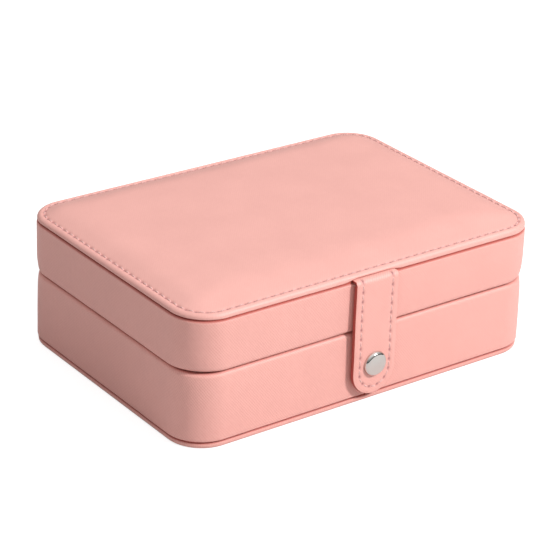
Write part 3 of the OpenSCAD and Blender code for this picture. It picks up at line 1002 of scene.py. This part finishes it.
POCKET_T = 0.35
POCKET_CLEAR = 0.3
GATHER_PITCH = 5.4
POCKET_FULLNESS = 1.25


def ripple(x):
    """The fine gathers along the elastic, between -1 and 1."""
    return math.sin(2 * math.pi * x / GATHER_PITCH + 1.6 * wobble(x, 0, 0, 17, 3.1))


def gathers(x, y):
    """Height of the folds that run back from the elastic; they grow broader and die away."""
    broad = wobble(x, y * 0.15, 0, 9.5, 4.7)
    return 0.55 * ripple(x) * math.exp(-y / 9) + 1.3 * broad * math.exp(-y / 26)


def hem_height(x):
    """Height of the elastic hem along x: it rises to the ceiling at both ends."""
    return elastic_low[2] + 0.65 + 5.2 * float(smoothstep(abs(x), pocket_high[0] - 13, pocket_high[0]))


def hem_ruffle(x):
    return 0.16 * ripple(x)


def pocket():
    """Thin satin from the back of the lid's ceiling forward to its elastic hem."""
    roof = pocket_high[2] - POCKET_CLEAR
    depth = pocket_high[1]
    xs = np.linspace(pocket_low[0], pocket_high[0], 241)
    ys = np.concatenate([np.linspace(0.4, 6, 8), np.linspace(7, depth, 34)])
    cloth = np.zeros((len(ys), len(xs), 3))
    for j, y in enumerate(ys):
        slack = 1 - (max(y - elastic_high[1], 0) / (depth - elastic_high[1])) ** 1.8
        for i, x in enumerate(xs):
            drop = roof - hem_height(x)
            side = 1 - float(smoothstep(abs(x), pocket_high[0] - 6, pocket_high[0]))
            free = float(smoothstep(y, elastic_high[1] - 0.6, elastic_high[1] + 3)) * min(1.0, 3 * slack)
            z = roof - drop * slack - gathers(x, y) * side * free
            if y < elastic_high[1]:
                z = hem_height(x) + hem_ruffle(x)
            cloth[j, i] = (x, y, min(z, roof - POCKET_T))
    du, dv = np.gradient(cloth, axis=1), np.gradient(cloth, axis=0)
    normal = np.cross(du, dv)
    normal /= np.linalg.norm(normal, axis=2)[:, :, None]
    below, above = cloth.reshape(-1, 3), (cloth + normal * POCKET_T).reshape(-1, 3)
    rows, cols = len(ys), len(xs)
    faces = grid_faces(rows, cols)
    count = rows * cols
    faces += [tuple(count + i for i in f)[::-1] for f in faces]
    rim = list(range(cols)) + [r * cols + cols - 1 for r in range(1, rows)]
    rim += [(rows - 1) * cols + c for c in range(cols - 2, -1, -1)]
    rim += [r * cols for r in range(rows - 2, 0, -1)]
    faces += [(b, a, count + a, count + b) for a, b in zip(rim, rim[1:] + rim[:1])]
    flat_uv = np.array([(x * POCKET_FULLNESS, y) for y in ys for x in xs]) * MM
    obj = mesh_object("lid_pocket", [below, above], faces, [flat_uv, flat_uv])
    return dress(fix_normals(obj), satin_rose)


def elastic_hem():
    """The ribbed elastic that gathers the pocket's mouth."""
    xs = np.linspace(elastic_low[0], elastic_high[0], 241)
    wide, thick = elastic_high[1] - elastic_low[1], elastic_high[2] - elastic_low[2]
    t = np.linspace(0, 1, 31)
    rib = 0.09 * np.cos(t * 2 * math.pi * 6)
    under = np.column_stack([t * wide, -thick / 2 + 0.12 + rib])
    over = np.column_stack([t[::-1] * wide, thick / 2 - 0.12 - rib])
    section = np.vstack([under, over])
    rows, uv = [], []
    for x in xs:
        ruffle = hem_ruffle(x)
        rows.append(np.column_stack([np.full(len(section), x), elastic_low[1] + section[:, 0],
                                     hem_height(x) + section[:, 1] + ruffle]))
        uv.append(np.column_stack([np.full(len(section), x), section[:, 0]]) * MM)
    cols = len(section)
    faces = grid_faces(len(rows), cols, wrap_cols=True)
    faces += [tuple(range(cols))[::-1], tuple(range((len(rows) - 1) * cols, len(rows) * cols))]
    obj = mesh_object("pocket_hem", rows, faces, uv)
    return dress(fix_normals(obj), elastic_rose)


hem = elastic_hem()
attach(hem, "lid")
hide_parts("pocket_elastic")
satin_pocket = pocket()
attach(satin_pocket, "lid")
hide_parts("pocket_panel")


# ---- materials of the CAD nodes that stay

finishes = {
    # The walls seen in the gaps take the painted shade of the recesses
    "tray_wall": shaded_recess_leather, "lid_wall": shaded_recess_leather,
    "lid_board": grey_board, "bottom_board": grey_board,
    "snap_stud": nickel, "stud_rivet": nickel, "snap_socket": nickel, "snap_spring": gold,
    "tray_floor": velvet_deep, "lid_ceiling": velvet_deep, "hook_rail": velvet_deep,
}
soft_edges = {
    "section_wall": 0.7, "front_divider": 0.8, "rear_divider": 0.8, "divider_guides": 0.3, "hook_rail": 0.7,
    "tray_lining": 0.35, "lid_lining": 0.35, "snap_stud": 0.12, "snap_socket": 0.2,
}


def round_edges(obj, width_mm):
    bevel = obj.modifiers.new("edges", "BEVEL")
    bevel.width = width_mm * MM
    bevel.segments = 3
    bevel.limit_method = "ANGLE"
    bevel.angle_limit = math.radians(35)
    bevel.use_clamp_overlap = True
    bevel.harden_normals = True


for name, node in frame["nodes"].items():
    finish = finishes.get(name)
    if finish is None:
        finish = gold if name.startswith("necklace_hook") else velvet_rose
    node.data.materials.clear()
    node.data.materials.append(finish)
    if name in soft_edges:
        round_edges(node, soft_edges[name])


# ---- floor, lights, camera

FLOOR_ALBEDO = 0.68
SEEN_ALBEDO, SEEN_GLOW = 0.42, 0.80
SKY_FROM, SKY_LOW, SKY_HIGH = 0.09, 0.03, 1.10
KEY_WAY = Vector((0.53, -1.0, 0.95)).normalized()
KEY_AWAY, KEY_SIZE, KEY_LIGHT = 1.5, 0.25, 19.2
KEY_AIM = (0, 0, 0.03)

def key_lamp():
    """The lamp to the right of the front."""
    data = bpy.data.lights.new("key", "AREA")
    data.shape = "DISK"
    data.size = KEY_SIZE
    data.energy = KEY_LIGHT
    obj = bpy.data.objects.new("key", data)
    obj.location = KEY_WAY * KEY_AWAY
    obj.rotation_mode = "QUATERNION"
    obj.rotation_quaternion = (Vector(KEY_AIM) - obj.location).to_track_quat("-Z", "Y")
    bpy.context.scene.collection.objects.link(obj)


def floor_sheet(name, z, albedo, glow=0.0):
    floor = mesh_object(name, [(-4000, -4000, z), (4000, -4000, z), (4000, 4000, z), (-4000, 4000, z)],
                        [(0, 1, 2, 3)], smooth=False)
    n = Nodes(name)
    grain = n.noise(n.solid(), 40.0, detail=3.0)
    tone = n.mix(n.spread(grain, 0.3, 0.7), (albedo * 0.98,) * 3, (albedo,) * 3)
    dress(floor, n.set(colour=tone, roughness=0.9, specular=0.05))
    n.shader.inputs["Emission Color"].default_value = (1, 1, 1, 1)
    n.shader.inputs["Emission Strength"].default_value = glow
    return floor


def studio():
    """A pale floor that bounces light, the brighter sheet that the camera sees in its place, a sky that is
    bright overhead and dim at the horizon, and one lamp to the right of the front."""
    bounce = floor_sheet("floor_bounce", -0.06, FLOOR_ALBEDO)
    bounce.visible_camera = False
    seen = floor_sheet("floor", -0.02, SEEN_ALBEDO, glow=SEEN_GLOW)
    seen.visible_diffuse = seen.visible_glossy = seen.visible_shadow = False
    world = bpy.data.worlds.new("studio")
    bpy.context.scene.world = world
    world.use_nodes = True
    tree = world.node_tree
    where = tree.nodes.new("ShaderNodeTexCoord")
    parts = tree.nodes.new("ShaderNodeSeparateXYZ")
    ramp = tree.nodes.new("ShaderNodeMapRange")
    tree.links.new(where.outputs["Generated"], parts.inputs[0])
    tree.links.new(parts.outputs["Z"], ramp.inputs["Value"])
    for key, number in zip((1, 2, 3, 4), (SKY_FROM, 1.0, SKY_LOW, SKY_HIGH)):
        ramp.inputs[key].default_value = number
    tree.links.new(ramp.outputs[0], tree.nodes["Background"].inputs["Strength"])
    tree.nodes["Background"].inputs["Color"].default_value = (1, 1, 1, 1)
    key_lamp()


studio()

AZIMUTH = -37.0
ELEVATION = 25.39
ROLL = 2.11
DISTANCE = 0.886
LENS = 146.6
TARGET = Vector((-1.83, 1.97, 26.0))


def camera():
    """A camera at the photograph's viewing angle. TARGET is right, up and height offsets in mm."""
    a, e = math.radians(AZIMUTH), math.radians(ELEVATION)
    back = Vector((math.sin(a) * math.cos(e), -math.cos(a) * math.cos(e), math.sin(e)))
    right = Vector((0, 0, 1)).cross(back).normalized()
    up = back.cross(right)
    r = math.radians(ROLL)
    right, up = right * math.cos(r) + up * math.sin(r), up * math.cos(r) - right * math.sin(r)
    data = bpy.data.cameras.new("camera")
    data.lens = LENS
    data.sensor_width = 36
    data.clip_start, data.clip_end = 0.05, 20
    obj = bpy.data.objects.new("camera", data)
    place = Vector((0, 0, TARGET[2] * MM)) + back * DISTANCE
    place += right * (TARGET[0] * MM) + up * (TARGET[1] * MM)
    turn = Matrix((right, up, back)).transposed().to_4x4()
    obj.matrix_world = Matrix.Translation(place) @ turn
    bpy.context.scene.collection.objects.link(obj)
    bpy.context.scene.camera = obj


camera()
bpy.context.scene.view_settings.view_transform = "Standard"
